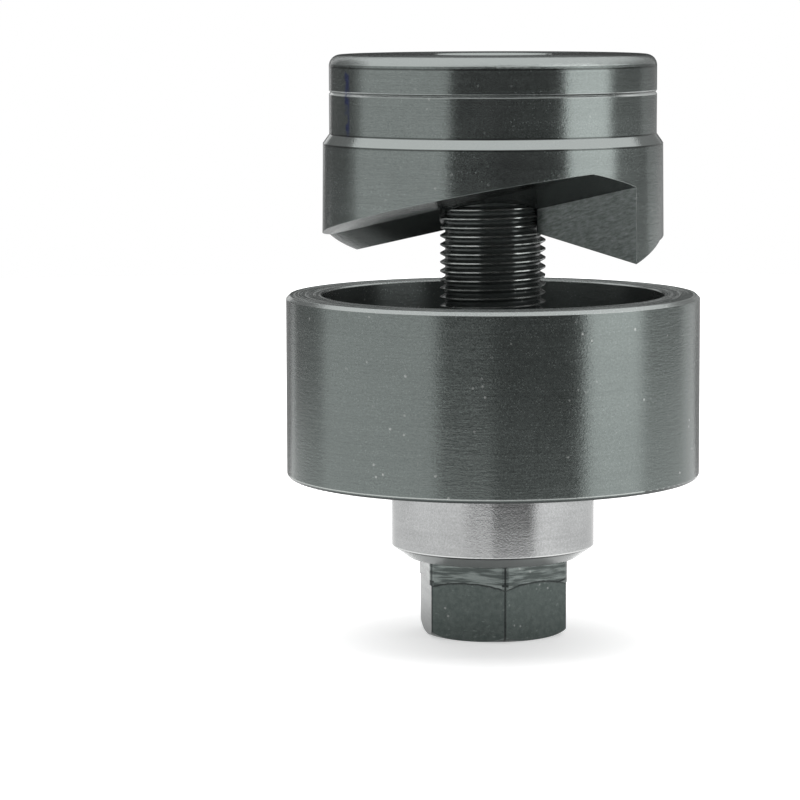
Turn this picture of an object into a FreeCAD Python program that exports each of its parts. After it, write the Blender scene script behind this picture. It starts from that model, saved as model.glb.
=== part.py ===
import FreeCAD, Part
import math
import os
import Sketcher

# Slug-splitting knockout punch with a ball-bearing draw stud, standing on its hexagon head.
# The stud passes up through the bearing and the die cup and screws into the punch.
# Turning the head draws the punch down into the die and shears the sheet between them.
# Millimetres, +Z up, origin in the middle of the head's end face.

os.makedirs("parts", exist_ok=True)
doc = FreeCAD.newDocument("KnockoutPunch")

# Driving sizes: alias, value, what it is. Angles are in degrees.
DRIVING_SIZES = [
    ("stud_diameter", 19.05, "major diameter of the three-quarter inch draw stud"),
    ("stud_length", 82.9, "shank above the hexagon head"),
    ("stud_end_chamfer", 1.3, "lead-in at the stud's free end"),
    ("hex_width", 24.6, "across the worn flats where the wrench grips"),
    ("hex_height", 14.1, "hexagon head, end face to bearing seat"),
    ("hex_relief_depth", 0.25, "how far the flats are milled below the band at the seat"),
    ("hex_relief_height", 10.6, "top of the milled flats, at the middle of a flat"),
    ("hex_cutter_radius", 28.0, "radius of the cutter that milled the flats"),
    ("hex_corner_diameter", 28.3, "turned corners of the head"),
    ("hex_end_width", 2.7, "how far in from the corners the end face is rounded"),
    ("hex_end_radius", 3.4, "radius of that rounding"),
    ("hex_turn", -20.9, "how the head is turned about the axis"),
    ("bearing_diameter", 36.8, "outside of the bearing's band"),
    ("bearing_height", 14.65, "hexagon seat to the underside of the die"),
    ("bearing_bore_gap", 0.3, "radial gap between the races and the stud"),
    ("bearing_side_gap", 0.3, "gap between the turning race and the fixed band"),
    ("bearing_press_gap", 0.02, "gap between the fixed race and the band it is held by"),
    ("band_wall", 1.0, "sheet thickness of the band"),
    ("band_lip_reach", 2.9, "how far the band's lip is rolled in from the outside"),
    ("band_lip_height", 2.1, "height of the rolled cone outside"),
    ("band_lip_edge", 1.2, "height of the lip's inner edge"),
    ("band_top_gap", 0.4, "how far the band stops short of the die"),
    ("ball_diameter", 4.763, "three-sixteenths inch ball"),
    ("ball_gap", 0.03, "running gap between a ball and its grooves"),
    ("groove_depth", 1.0, "depth of the ball grooves in the races"),
    ("groove_radius", 2.52, "section radius of the ball grooves"),
    ("cage_thickness", 1.6, "ball cage"),
    ("cage_pocket_gap", 0.15, "radial gap between a ball and its pocket"),
    ("cage_web", 0.4, "metal of the cage inside and outside each pocket"),
    ("die_diameter", 74.7, "outside of the die cup"),
    ("die_height", 33.0, "foot to rim"),
    ("die_floor", 10.0, "thickness of the cup's floor"),
    ("die_shear_gap", 0.2, "radial gap between punch and die, which shears the sheet"),
    ("die_stud_gap", 0.35, "radial gap between the floor's hole and the stud"),
    ("die_land", 8.0, "depth of the cutting land below the rim"),
    ("die_relief", 0.4, "how much wider the cup is under the land"),
    ("die_rim_chamfer", 0.65, "outer edge of the rim"),
    ("die_edge_chamfer", 0.25, "broken inner edge of the rim"),
    ("die_foot_radius", 0.8, "rounded outer edge of the foot"),
    ("punch_diameter", 61.5, "cutting diameter, for two-inch conduit"),
    ("punch_height", 36.4, "tips to top"),
    ("punch_lift", 6.65, "rim of the die to the punch's tips, as it stands"),
    ("punch_step_height", 20.6, "tips to the shoulder above the cutting land"),
    ("punch_land_relief", 0.2, "how much the land narrows from the tips to the shoulder"),
    ("punch_step_rise", 1.65, "height of the shoulder's chamfer"),
    ("punch_body_diameter", 58.8, "body above the shoulder"),
    ("punch_crown_radius", 2.0, "rounded top edge"),
    ("punch_bore_gap", 0.05, "radial gap between the stud and the punch's hole"),
    ("punch_bore_chamfer", 1.5, "lead-in at the top of the hole"),
    ("punch_scribe_height", 29.7, "tips to the scribed line round the body"),
    ("punch_scribe_width", 0.6, "width of the scribed line"),
    ("punch_scribe_depth", 0.25, "depth of the scribed line"),
    ("ramp_angle", 12.4, "slope of each cutting face from its tip"),
    ("bevel_angle", 15.8, "slope of the bevel beside the splitting edge"),
    ("bevel_width", 10.7, "width of the bevel"),
    ("split_turn", 145.0, "direction of the back tip about the axis"),
]
BALL_COUNT = 14
HEX_SIDES = 6


class Size:
    """A number together with the expression that ties it to the spreadsheet."""

    def __init__(self, value, text):
        self.value = value
        self.text = text

    def _join(self, other, sign, result):
        other_text = other.text if isinstance(other, Size) else repr(float(other))
        return Size(result, f"({self.text} {sign} {other_text})")

    def __add__(self, other):
        return self._join(other, "+", self.value + number(other))

    def __sub__(self, other):
        return self._join(other, "-", self.value - number(other))

    def __mul__(self, other):
        return self._join(other, "*", self.value * number(other))

    def __truediv__(self, other):
        return self._join(other, "/", self.value / number(other))

    def __neg__(self):
        return Size(-self.value, f"(-{self.text})")


def number(entry):
    """The plain value of a Size or a number."""
    return entry.value if isinstance(entry, Size) else float(entry)


def square_root(size):
    """The square root of a Size."""
    return Size(math.sqrt(size.value), f"sqrt({size.text})")


def tangent(size):
    """The tangent of a Size in degrees."""
    return Size(math.tan(math.radians(size.value)), f"tan({size.text})")


def make_sheet():
    """Fill the spreadsheet and return each driving size under its alias."""
    sheet = doc.addObject("Spreadsheet::Sheet", "Sizes")
    sizes = {}
    for row, (alias, value, note) in enumerate(DRIVING_SIZES, start=1):
        sheet.set(f"A{row}", alias)
        sheet.set(f"B{row}", str(value))
        sheet.set(f"C{row}", note)
        sheet.setAlias(f"B{row}", alias)
        sizes[alias] = Size(value, f"Sizes.{alias}")
    doc.recompute()
    return sizes


def make_body(label, height=None, turn=None):
    """A body standing at a height and turned about Z, both tied to the sheet."""
    body = doc.addObject("PartDesign::Body", label)
    body.Label = label
    if height is not None:
        body.setExpression("Placement.Base.z", height.text)
    if turn is not None:
        body.Placement.Rotation = FreeCAD.Rotation(FreeCAD.Vector(0, 0, 1), turn.value)
        body.setExpression("Placement.Rotation.Angle", turn.text)
    return body


def origin_feature(body, role):
    """The plane or axis of a body's own origin with the given role."""
    return next(item for item in body.Origin.OriginFeatures if item.Role == role)


def attach_sketch(body, name, plane):
    """A new sketch on one of the body's own planes."""
    sketch = body.newObject("Sketcher::SketchObject", name)
    sketch.AttachmentSupport = (origin_feature(body, plane), [""])
    sketch.MapMode = "FlatFace"
    return sketch


def place_point(sketch, direction, geometry, point, size):
    """Hold a point at a signed distance from the sketch's origin, tied to the sheet."""
    if abs(number(size)) < 1e-9:
        axis = -2 if direction == "DistanceX" else -1
        sketch.addConstraint(Sketcher.Constraint("PointOnObject", geometry, point, axis))
        return
    if number(size) < 0:
        size = -size
        held = Sketcher.Constraint(direction, geometry, point, -1, 1, number(size))
    else:
        held = Sketcher.Constraint(direction, -1, 1, geometry, point, number(size))
    index = sketch.addConstraint(held)
    if isinstance(size, Size):
        sketch.setExpression(f"Constraints[{index}]", size.text)


def arc_between(start, end, radius):
    """The shorter arc from start to end, its centre left of the way there when radius > 0."""
    way = end - start
    back = math.sqrt(max(radius ** 2 - (way.Length / 2) ** 2, 0.0))
    left = FreeCAD.Vector(-way.y, way.x, 0).normalize()
    side = math.copysign(1.0, radius)
    centre = (start + end) / 2 + left * back * side
    from_angle = math.atan2(start.y - centre.y, start.x - centre.x)
    to_angle = math.atan2(end.y - centre.y, end.x - centre.x)
    circle = Part.Circle(centre, FreeCAD.Vector(0, 0, 1), abs(radius))
    if side > 0:
        return Part.ArcOfCircle(circle, from_angle, to_angle), 1, 2
    return Part.ArcOfCircle(circle, to_angle, from_angle), 2, 1


def draw_outline(sketch, corners, arcs=None):
    """A closed outline through the corners. arcs gives the radius of the edge after a corner."""
    arcs = arcs or {}
    points = [FreeCAD.Vector(number(x), number(y), 0) for x, y in corners]
    edges = []
    for index, start in enumerate(points):
        end = points[(index + 1) % len(points)]
        if index in arcs:
            shape, first, last = arc_between(start, end, number(arcs[index]))
        else:
            shape, first, last = Part.LineSegment(start, end), 1, 2
        edges.append((sketch.addGeometry(shape, False), first, last))
    for index, (geometry, _, last) in enumerate(edges):
        following, first, _ = edges[(index + 1) % len(edges)]
        sketch.addConstraint(Sketcher.Constraint("Coincident", geometry, last, following, first))
    for (geometry, first, _), (x, y) in zip(edges, corners):
        place_point(sketch, "DistanceX", geometry, first, x)
        place_point(sketch, "DistanceY", geometry, first, y)
    for index, radius in arcs.items():
        size = -radius if number(radius) < 0 else radius
        held = Sketcher.Constraint("Radius", edges[index][0], number(size))
        at = sketch.addConstraint(held)
        sketch.setExpression(f"Constraints[{at}]", size.text)


def draw_circle(sketch, x, y, radius):
    """A circle tied to the sheet."""
    centre = FreeCAD.Vector(number(x), number(y), 0)
    circle = Part.Circle(centre, FreeCAD.Vector(0, 0, 1), number(radius))
    geometry = sketch.addGeometry(circle, False)
    place_point(sketch, "DistanceX", geometry, 3, x)
    place_point(sketch, "DistanceY", geometry, 3, y)
    index = sketch.addConstraint(Sketcher.Constraint("Radius", geometry, number(radius)))
    sketch.setExpression(f"Constraints[{index}]", radius.text)


def turn_outline(body, name, corners, arcs=None, kind="Revolution"):
    """Turn an outline of (radius, height) corners about Z, as metal or as a groove."""
    sketch = attach_sketch(body, f"{name}Outline", "XZ_Plane")
    draw_outline(sketch, corners, arcs)
    turned = body.newObject(f"PartDesign::{kind}", name)
    turned.Profile = sketch
    turned.ReferenceAxis = (sketch, ["V_Axis"])
    turned.Angle = 360.0
    doc.recompute()
    return turned


def repeat_round(body, name, feature, count):
    """Repeat a feature at even steps about Z and make that the body's result."""
    pattern = body.newObject("PartDesign::PolarPattern", name)
    pattern.Originals = [feature]
    pattern.Axis = (origin_feature(body, "Z_Axis"), [""])
    pattern.Angle = 360.0
    pattern.Occurrences = count
    body.Tip = pattern
    doc.recompute()
    return pattern


def cut_metal(body, feature_before, feature_after):
    """Stop when a cut took nothing away."""
    if feature_after.Shape.Volume >= feature_before.Shape.Volume - 1e-6:
        raise RuntimeError(f"{body.Label}: {feature_after.Name} cuts nothing")


def make_draw_stud(sizes, levels):
    """Threaded shank and hexagon head, forged and turned in one piece."""
    body = make_body("draw_stud", turn=sizes["hex_turn"])
    across = sizes["hex_width"] + sizes["hex_relief_depth"] * 2
    half_across = across / 2
    corner = across / math.sqrt(3.0)
    outline = attach_sketch(body, "HexOutline", "XY_Plane")
    draw_outline(outline, [
        (corner, 0), (corner / 2, half_across), (-corner / 2, half_across),
        (-corner, 0), (-corner / 2, -half_across), (corner / 2, -half_across),
    ])
    head = body.newObject("PartDesign::Pad", "Head")
    head.Profile = outline
    head.setExpression("Length", sizes["hex_height"].text)
    doc.recompute()

    # The cutter's round path leaves the wavy edge between the flats and the band above them.
    path = attach_sketch(body, "FlatCutter", "XZ_Plane")
    path.setExpression("AttachmentOffset.Base.z", (sizes["hex_width"] / 2).text)
    cutter_height = sizes["hex_relief_height"] - sizes["hex_cutter_radius"]
    draw_circle(path, 0, cutter_height, sizes["hex_cutter_radius"])
    flat = body.newObject("PartDesign::Pocket", "Flat")
    flat.Profile = path
    flat.setExpression("Length", sizes["hex_width"].text)
    flat.Reversed = True
    doc.recompute()
    cut_metal(body, head, flat)
    flats = repeat_round(body, "Flats", flat, HEX_SIDES)

    turned = sizes["hex_corner_diameter"] / 2
    end_width = sizes["hex_end_width"]
    end_radius = sizes["hex_end_radius"]
    rise = end_radius - square_root(end_radius * end_radius - end_width * end_width)
    end_flat = turned - end_width
    above_head = sizes["hex_height"] + rise
    outside = sizes["hex_width"]
    corners = turn_outline(body, "TurnedCorners", [
        (end_flat, 0), (turned, rise), (turned, above_head),
        (outside, above_head), (outside, -rise), (end_flat, -rise),
    ], arcs={0: end_radius}, kind="Groove")
    cut_metal(body, flats, corners)

    chamfer = sizes["stud_end_chamfer"]
    radius = sizes["stud_diameter"] / 2
    turn_outline(body, "Shank", [
        (0, sizes["hex_height"] / 2), (radius, sizes["hex_height"] / 2),
        (radius, levels["stud_top"] - chamfer), (radius - chamfer, levels["stud_top"]),
        (0, levels["stud_top"]),
    ])
    return body


def race_bore(sizes):
    """Radius of the hole in both races."""
    return sizes["stud_diameter"] / 2 + sizes["bearing_bore_gap"]


def band_inside(sizes):
    """Radius inside the bearing's band."""
    return sizes["bearing_diameter"] / 2 - sizes["band_wall"]


def lip_radius(sizes):
    """Radius of the opening in the band's rolled lip."""
    return sizes["bearing_diameter"] / 2 - sizes["band_lip_reach"]


def ball_pitch(sizes):
    """Radius of the circle of ball centres, midway across the turning race."""
    return (race_bore(sizes) + band_inside(sizes) - sizes["bearing_side_gap"]) / 2


def groove_reach(sizes):
    """Half the width of a ball groove where it opens in a race's face."""
    depth = sizes["groove_depth"] + sizes["ball_gap"]
    return square_root(depth * sizes["groove_radius"] * 2 - depth * depth)


def race_thickness(sizes):
    """Half of what the balls leave of the bearing's height."""
    between = sizes["ball_diameter"] - sizes["groove_depth"] * 2
    return (sizes["bearing_height"] - between) / 2


def make_lower_race(sizes, levels):
    """Grooved race that turns with the stud, its foot chamfered to clear the rolled lip."""
    body = make_body("lower_race", height=levels["bearing_base"])
    bore = race_bore(sizes)
    gap = sizes["bearing_side_gap"]
    lip = lip_radius(sizes)
    outside = band_inside(sizes) - gap
    slope = sizes["band_lip_height"] / sizes["band_lip_reach"]
    over_lip = sizes["band_lip_edge"] + gap
    top = race_thickness(sizes)
    pitch = ball_pitch(sizes)
    reach = groove_reach(sizes)
    turn_outline(body, "Ring", [
        (bore, 0), (lip - gap, 0), (lip - gap, over_lip),
        (outside, over_lip + (outside - lip + gap) * slope), (outside, top),
        (pitch + reach, top), (pitch - reach, top), (bore, top),
    ], arcs={5: -sizes["groove_radius"]})
    return body


def make_upper_race(sizes, levels):
    """Grooved race that bears on the die and carries the band."""
    body = make_body("upper_race", height=levels["die_foot"] - race_thickness(sizes))
    bore = race_bore(sizes)
    outside = band_inside(sizes) - sizes["bearing_press_gap"]
    top = race_thickness(sizes)
    pitch = ball_pitch(sizes)
    reach = groove_reach(sizes)
    turn_outline(body, "Ring", [
        (bore, 0), (pitch - reach, 0), (pitch + reach, 0), (outside, 0),
        (outside, top), (bore, top),
    ], arcs={1: -sizes["groove_radius"]})
    return body


def make_bearing_cover(sizes, levels):
    """Sheet-steel band round the bearing, rolled in under the lower race."""
    body = make_body("bearing_cover", height=levels["bearing_base"])
    outside = sizes["bearing_diameter"] / 2
    inside = band_inside(sizes)
    lip = lip_radius(sizes)
    slope = sizes["band_lip_height"] / sizes["band_lip_reach"]
    top = sizes["bearing_height"] - sizes["band_top_gap"]
    turn_outline(body, "Band", [
        (lip, 0), (outside, sizes["band_lip_height"]), (outside, top), (inside, top),
        (inside, sizes["band_lip_edge"] + (inside - lip) * slope),
        (lip, sizes["band_lip_edge"]),
    ])
    return body


def make_ball_cage(sizes, levels):
    """Flat ring that keeps the balls apart."""
    thickness = sizes["cage_thickness"]
    body = make_body("ball_cage", height=levels["ball_centre"] - thickness / 2)
    pitch = ball_pitch(sizes)
    pocket_radius = sizes["ball_diameter"] / 2 + sizes["cage_pocket_gap"]
    half_width = pocket_radius + sizes["cage_web"]
    ring = turn_outline(body, "Ring", [
        (pitch - half_width, 0), (pitch + half_width, 0),
        (pitch + half_width, thickness), (pitch - half_width, thickness),
    ])
    hole = attach_sketch(body, "PocketOutline", "XY_Plane")
    draw_circle(hole, pitch, 0, pocket_radius)
    pocket = body.newObject("PartDesign::Pocket", "BallPocket")
    pocket.Profile = hole
    pocket.setExpression("Length", thickness.text)
    pocket.Reversed = True
    doc.recompute()
    cut_metal(body, ring, pocket)
    repeat_round(body, "BallPockets", pocket, BALL_COUNT)
    return body


def make_balls(sizes, levels):
    """One loose steel ball in each pocket of the cage."""
    balls = []
    for index in range(BALL_COUNT):
        label = f"ball_{index + 1:02d}"
        turn = f"{360.0 / BALL_COUNT * index!r}"
        ball = doc.addObject("Part::Sphere", label)
        ball.Label = label
        ball.setExpression("Radius", (sizes["ball_diameter"] / 2).text)
        pitch = ball_pitch(sizes).text
        ball.setExpression("Placement.Base.x", f"{pitch} * cos({turn})")
        ball.setExpression("Placement.Base.y", f"{pitch} * sin({turn})")
        ball.setExpression("Placement.Base.z", levels["ball_centre"].text)
        balls.append(ball)
    return balls


def make_die(sizes, levels):
    """Turned cup: a floor that bears on the bearing and a wall that ends in the cutting rim."""
    body = make_body("die", height=levels["die_foot"])
    outside = sizes["die_diameter"] / 2
    bore = sizes["punch_diameter"] / 2 + sizes["die_shear_gap"]
    hole = sizes["stud_diameter"] / 2 + sizes["die_stud_gap"]
    height = sizes["die_height"]
    rim = sizes["die_rim_chamfer"]
    edge = sizes["die_edge_chamfer"]
    foot = sizes["die_foot_radius"]
    relief = sizes["die_relief"]
    land = height - sizes["die_land"]
    turn_outline(body, "Cup", [
        (hole, 0), (outside - foot, 0), (outside, foot),
        (outside, height - rim), (outside - rim, height),
        (bore + edge, height), (bore, height - edge), (bore, land),
        (bore + relief, land - relief), (bore + relief, sizes["die_floor"]),
        (hole, sizes["die_floor"]),
    ], arcs={1: foot})
    return body


def make_punch(sizes, levels):
    """Turned blank with a shoulder and a bored hole, its lower end milled to two cutting ramps."""
    body = make_body("punch", height=levels["punch_tips"], turn=sizes["split_turn"])
    bore = sizes["stud_diameter"] / 2 + sizes["punch_bore_gap"]
    cut = sizes["punch_diameter"] / 2
    upper = sizes["punch_body_diameter"] / 2
    shoulder = sizes["punch_step_height"]
    top = sizes["punch_height"]
    crown = sizes["punch_crown_radius"]
    lead = sizes["punch_bore_chamfer"]
    line = sizes["punch_scribe_height"]
    half_line = sizes["punch_scribe_width"] / 2
    blank = turn_outline(body, "Blank", [
        (bore, 0), (cut, 0), (cut - sizes["punch_land_relief"], shoulder),
        (upper, shoulder + sizes["punch_step_rise"]), (upper, line - half_line),
        (upper - sizes["punch_scribe_depth"], line), (upper, line + half_line),
        (upper, top - crown), (upper - crown, top), (bore + lead, top), (bore, top - lead),
    ], arcs={7: crown})

    # Both ramps start at a tip on the wall, pass level through the axis and end across from it.
    # Each is milled along its own slope, with the splitting edge standing on the axis plane.
    ramp = attach_sketch(body, "RampOutline", "YZ_Plane")
    ramp.AttachmentOffset = FreeCAD.Placement(
        FreeCAD.Vector(0, 0, 0), FreeCAD.Rotation(FreeCAD.Vector(1, 0, 0), sizes["ramp_angle"].value))
    ramp.setExpression("AttachmentOffset.Base.y", (tangent(sizes["ramp_angle"]) * cut).text)
    ramp.setExpression("AttachmentOffset.Rotation.Angle", sizes["ramp_angle"].text)
    bevel = sizes["bevel_width"]
    bevel_rise = bevel * tangent(sizes["bevel_angle"])
    outside = sizes["punch_diameter"]
    draw_outline(ramp, [
        (0, 0), (bevel, bevel_rise), (outside, bevel_rise), (outside, -outside), (0, -outside),
    ])
    milled = body.newObject("PartDesign::Pocket", "Ramp")
    milled.Profile = ramp
    milled.Midplane = True
    milled.setExpression("Length", (outside * 2).text)
    doc.recompute()
    cut_metal(body, blank, milled)
    repeat_round(body, "Ramps", milled, 2)
    return body


def stack_levels(sizes):
    """Heights of the seats, from the end face of the head up."""
    levels = {"bearing_base": sizes["hex_height"]}
    levels["die_foot"] = levels["bearing_base"] + sizes["bearing_height"]
    levels["ball_centre"] = levels["bearing_base"] + sizes["bearing_height"] / 2
    levels["punch_tips"] = levels["die_foot"] + sizes["die_height"] + sizes["punch_lift"]
    levels["stud_top"] = sizes["hex_height"] + sizes["stud_length"]
    return levels


def export_parts(parts):
    """Check every object of the document, then write one STEP file for each part."""
    for item in doc.Objects:
        if "Invalid" in item.State or "Error" in item.State:
            raise RuntimeError(f"{item.Label} failed: {item.State}")
    for part in parts:
        if part.Shape.isNull() or not part.Shape.isValid():
            raise RuntimeError(f"{part.Label} has no valid shape")
    for part in parts:
        part.Shape.exportStep(f"parts/{part.Label}.step")
        box = part.Shape.BoundBox
        print(f"{part.Label}: {part.Shape.Volume / 1000:.3f} cm3, {len(part.Shape.Solids)} solid,"
              f" z {box.ZMin:.3f} to {box.ZMax:.3f}")


def main():
    """Build every piece from the sheet and write them all."""
    sizes = make_sheet()
    levels = stack_levels(sizes)
    parts = [
        make_draw_stud(sizes, levels),
        make_lower_race(sizes, levels),
        make_upper_race(sizes, levels),
        make_bearing_cover(sizes, levels),
        make_ball_cage(sizes, levels),
        make_die(sizes, levels),
        make_punch(sizes, levels),
    ]
    parts += make_balls(sizes, levels)
    doc.recompute()
    export_parts(parts)


main()
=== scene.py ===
import math

import bmesh
import bpy
from mathutils import Matrix, Vector


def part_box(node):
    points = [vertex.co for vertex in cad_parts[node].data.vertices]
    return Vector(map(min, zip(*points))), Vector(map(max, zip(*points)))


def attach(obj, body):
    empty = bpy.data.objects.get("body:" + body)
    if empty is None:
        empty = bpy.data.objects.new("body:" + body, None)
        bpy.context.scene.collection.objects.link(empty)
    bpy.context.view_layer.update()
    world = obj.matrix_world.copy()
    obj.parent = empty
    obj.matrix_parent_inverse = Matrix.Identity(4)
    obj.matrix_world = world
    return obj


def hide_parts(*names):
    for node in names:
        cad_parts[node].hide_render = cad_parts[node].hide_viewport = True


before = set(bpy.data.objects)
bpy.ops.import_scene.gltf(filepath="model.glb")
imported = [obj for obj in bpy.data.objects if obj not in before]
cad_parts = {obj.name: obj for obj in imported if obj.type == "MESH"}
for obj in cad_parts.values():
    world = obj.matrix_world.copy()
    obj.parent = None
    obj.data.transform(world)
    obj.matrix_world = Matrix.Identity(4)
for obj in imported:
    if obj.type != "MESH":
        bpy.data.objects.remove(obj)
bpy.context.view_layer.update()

# The camera of the photograph, in metres and radians, found from the edges of the tool.
CAMERA_DISTANCE = 0.6395
CAMERA_HEIGHT = 0.1175
CAMERA_TILT = 0.1169
CAMERA_YAW = 0.0263
CAMERA_ROLL = 0.0030
CAMERA_NEAREST = 0.01
SENSOR_MM = 36.0
LENS_MM = 159.8

# Lamps: azimuth from the camera's side, elevation, distance, width, height and radiance.
SIDE_SOFTBOX = (67.8, 11.0, 0.46, 0.305, 0.3, 1.55)
TOP_SOFTBOX = (180.0, 68.0, 1.2, 2.4, 2.4, 2.3)
LAMP_TARGET = (0.0, 0.0, 0.06)

# The floor, the glow that whitens it for the camera, and the light of the surroundings.
FLOOR_RADIUS = 0.8
FLOOR_SIDES = 96
FLOOR_PAINT = (0.74, 0.74, 0.74, 1.0)
FLOOR_LIFT = 0.52
SURROUND = 0.35
WHITE = (1, 1, 1, 1)

# Cards and aprons that only reflections see: tone, then corners of radius, height and two azimuths.
CARD_STEPS = 24
CARDS = {
    "front_card": (0.01, [(0.217, 0.001, 0, 44), (0.25, 0.001, -29, 50), (0.45, 0.001, -29, 50),
                          (0.45, 0.262, -29, 50)]),
    "front_apron": (0.58, [(0.11, 0.001, 0, 42), (0.217, 0.001, 0, 44)]),
    "left_card": (0.2, [(0.5, 0.02, 203, 250), (0.5, 0.375, 203, 250)]),
    "left_apron": (0.5, [(0.3, 0.001, 221, 257), (0.5, 0.001, 221, 257), (0.5, 0.02, 221, 257),
                         (0.5, 0.021, 250, 257), (0.5, 0.375, 250, 257)]),
    "right_card": (0.27, [(0.5, 0.001, 90, 125), (0.5, 0.16, 90, 127), (0.5, 0.161, 90, 165),
                          (0.5, 0.345, 90, 165)]),
    "back_card": (0.4, [(0.5, 0.06, 127, 165), (0.5, 0.16, 127, 165)]),
    "rim_card": (0.05, [(0.5, 0.078, 165, 195), (0.5, 0.36, 165, 195)]),
    "rim_apron": (0.45, [(0.18, 0.001, 145, 215), (0.5, 0.001, 145, 215), (0.5, 0.078, 165, 195)]),
}

# The draw stud's thread, three-quarter inch with sixteen turns an inch.
THREAD_PITCH = 0.0015875
THREAD_RADIUS = 0.009525
THREAD_DEPTH = 0.00092
THREAD_START = 0.0405
THREAD_SIDES = 96
THREAD_CHAMFER = 0.0013

# Turns over which the thread deepens, and the shape of one turn as shares of its pitch and depth.
THREAD_RUNOUT = 1.5
THREAD_OUTLINE = [(0.0, 0.0), (0.1, 0.0), (0.38, 0.88), (0.43, 1.0), (0.57, 1.0), (0.62, 0.88),
                  (0.9, 0.0)]

# The punch's own thread: radius at the wall and at the crests, first and last turn above THREAD_START.
BORE_RADIUS = 0.0096
BORE_CREST = 0.00877
BORE_TURNS = (26, 39)

# Half the width of the punch's ridge at the wall and at the crest, as shares of the pitch.
RIDGE_FOOT = 0.4
RIDGE_CREST = 0.09

# Points this near are one point, edges this short vanish, and bends below this angle are smooth.
SAME_POINT = 1e-7
SHORT_EDGE = 1e-8
CREASE_DEGREES = 28.0

# Heights on the punch: the scribed line, and thin dark lines under the crown and at the shoulder.
SCRIBED_HEIGHT = 0.0981
DARK_LINE_HEIGHTS = (0.10268, 0.09077, 0.08888)

# Half-widths at which those lines are full and end, and how far aside the painted highlight on the
# scribed line is brightest.
SCRIBED_WIDTH = (0.0003, 0.0005)
DARK_LINE_WIDTH = (0.0001, 0.00022)
SCRIBED_ASIDE = (0.7, 0.82)

# A smear of blue ink that runs down the punch's wall: place, reach, and the heights where it fades.
INK_PLACE = (-0.0253, -0.0142, 0.0)
INK_REACH = (0.0004, 0.0014)
INK_LOW = (0.09, 0.092)
INK_HIGH = (0.1015, 0.1025)

# Punch underside: where its painted shade changes across, where the ledge's painted reflection ends,
# and the bore.
UNDERSIDE_SPAN = (-0.02, 0.014)
LEDGE_END = (-0.0105, -0.0088)
# Radii where the bore's painted shade begins.
PUNCH_BORE_EDGE = (0.0097, 0.0098)

# Masks of the punch's faces, by how far they face down, or up or down where they are tilted or upright.
PUNCH_TOP = (-0.985, -0.93)
PUNCH_BELOW = (0.3, 0.5)
PUNCH_LEDGE = (0.955, 0.965)
PUNCH_TILTED = (0.15, 0.25)
PUNCH_UPRIGHT = (0.05, 0.1)

# How near the axis the plane of a split face passes.
SPLIT_OFFSET = (0.0001, 0.0003)

# Masks of the die's faces: facing the axis, level, facing down, and the slopes of its lip and foot.
DIE_INSIDE = (0.8, 0.9)
DIE_LEVEL = (0.9, 0.98)
DIE_UNDER = (0.25, 0.6)
DIE_LIP = ((0.3, 0.5), (0.85, 0.95))
DIE_FOOT = ((0.04, 0.1), (0.2, 0.3))

# Radii between which the rings on the die's rim begin.
RINGED_RIM = (0.0305, 0.031)

# Where a face of the punch or the die no longer faces up, and where the band's cone begins.
UPWARD_END = (-0.1, 0.0)
BAND_CONE = (0.2, 0.4)

# The stud: radii of crests and grooves, where the thread's marks begin, and where the punch's painted
# shade fades them.
CREST_RADII = (0.00925, 0.00945)
GROOVE_RADII = (0.0091, 0.0094)
SHANK_START = (0.030, 0.032)
PUNCH_SHADE_HEIGHTS = (0.0755, 0.079)

# The stud's head: its top, and distances from the axis that tell milled flats from turned faces.
HEAD_TOP = (0.0138, 0.0141)
FLAT_INNER = (0.0118, 0.0121)
FLAT_OUTER = (0.01236, 0.01244)

# The hexagon: direction of one corner from the camera's side in radians, and its corners' dark lines.
HEXAGON_SIDES = 6
HEXAGON_TURN = 0.159
CORNER_LINE = (0.025, 0.05)

# The cutter that milled the flats: radius and centre height of its path, and the dark line beyond it.
CUTTER_RADIUS = 0.028
CUTTER_CENTRE = -0.0174
CUTTER_LINE = 0.0002
CUTTER_WIDTH = (0.0001, 0.00025)
CUTTER_WAVER = 0.0004

# Slanting scratches: turn and size of the noise on the split faces, turn and fineness on the flats.
SPLIT_SCRATCH_TURN = (0.0, math.radians(18.0), math.radians(145.0))
SPLIT_SCRATCH_SIZE = (0.0018, 0.0018, 0.0005)
FLAT_SCRATCH_TURN = (0.5, 0.9, 0.3)
FLAT_SCRATCH_LINES = (180.0, 1500.0, 1500.0)

# Painted shade in the stud's corners: how far a corner reaches, and how open a place is when it has no
# shade.
SHADE_REACH = 0.0006
SHADE_SPAN = (0.4, 0.95)

# Height of the band's edge, where its wall turns into the cone, and of painted highlight and shade
# around it.
BAND_EDGE = 0.0162
BAND_TURN = (-0.00005, 0.00005)
HIGHLIGHT_END = (0.00012, 0.00025)
SHADE_LINE_START = (-0.00035, -0.0002)

# Finishes: two tones, lines round and across the work, strengths of the marks, and the shine.
PUNCH_OXIDE = {
    "dark": (0.134, 0.151, 0.145, 1.0), "light": (0.18, 0.202, 0.195, 1.0),
    "along": 18.0, "across": 2600.0, "lines": 0.4, "clouds": 0.3, "grain": 0.7, "grain_scale": 3000.0,
    "nicks": 0.2, "nick_scale": 600.0, "edges": 0.5, "edge_radius": 0.00018,
    "metal": 0.88, "roughness": 0.24, "comb": 0.8, "relief": 0.7, "stretch": 0.85,
}
DIE_OXIDE = {
    **PUNCH_OXIDE,
    "dark": (0.115, 0.13, 0.125, 1.0), "light": (0.158, 0.178, 0.171, 1.0),
    "grain": 1.3, "nicks": 0.45,
}
OILED = {
    "dark": (0.062, 0.073, 0.07, 1.0), "light": (0.115, 0.13, 0.125, 1.0),
    "along": 60.0, "across": 1900.0, "lines": 0.7, "clouds": 0.2, "grain": 0.3, "grain_scale": 2400.0,
    "nicks": 0.3, "nick_scale": 700.0, "edges": 0.5, "edge_radius": 0.00005,
    "metal": 0.8, "roughness": 0.22, "comb": 0.0, "relief": 0.5, "stretch": 0.5,
}
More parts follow.
